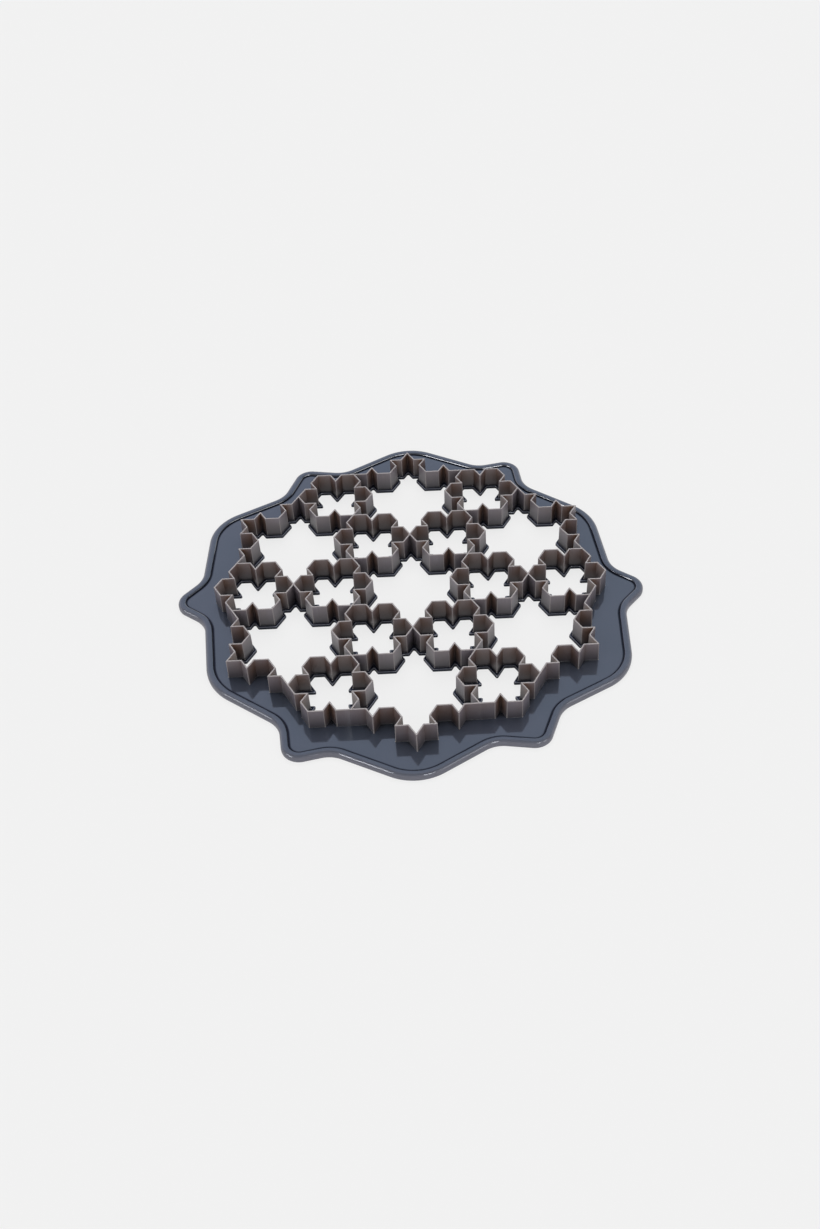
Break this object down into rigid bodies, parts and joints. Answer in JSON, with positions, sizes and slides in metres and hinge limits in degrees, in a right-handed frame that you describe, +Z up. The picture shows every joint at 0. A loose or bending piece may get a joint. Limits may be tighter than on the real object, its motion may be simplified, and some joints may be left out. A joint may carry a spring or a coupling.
{
  "type": "biscuit cutter",
  "caption": "Flat sheet cutter for biscuits: a wavy rimmed tray with upright blades that part dough into interlocking large and small snowflakes.",
  "frame": {"origin": "under the middle of the tray, on the surface that its rim stands on", "axes": "+Z up through the tray, the way the blades point; +X through the middle and one side tip of the tray; +Y through the middle of a long lobe"},
  "size_m": [0.3002, 0.3002, 0.0172],
  "materials": {
    "tray_plastic": "glossy",
    "blade_plastic": "satin"
  },
  "bodies": {
    "root": {"tray": "tray_plastic", "inner_ring_1": "blade_plastic", "inner_ring_2": "blade_plastic", "inner_ring_3": "blade_plastic", "inner_ring_4": "blade_plastic", "inner_ring_5": "blade_plastic", "inner_ring_6": "blade_plastic", "outer_ring_1": "blade_plastic", "outer_ring_2": "blade_plastic", "outer_ring_3": "blade_plastic", "outer_ring_4": "blade_plastic", "outer_ring_5": "blade_plastic", "outer_ring_6": "blade_plastic", "border_blade_1": "blade_plastic", "border_blade_2": "blade_plastic", "border_blade_3": "blade_plastic", "border_blade_4": "blade_plastic", "border_blade_5": "blade_plastic", "border_blade_6": "blade_plastic"}
  },
  "joints": []
}
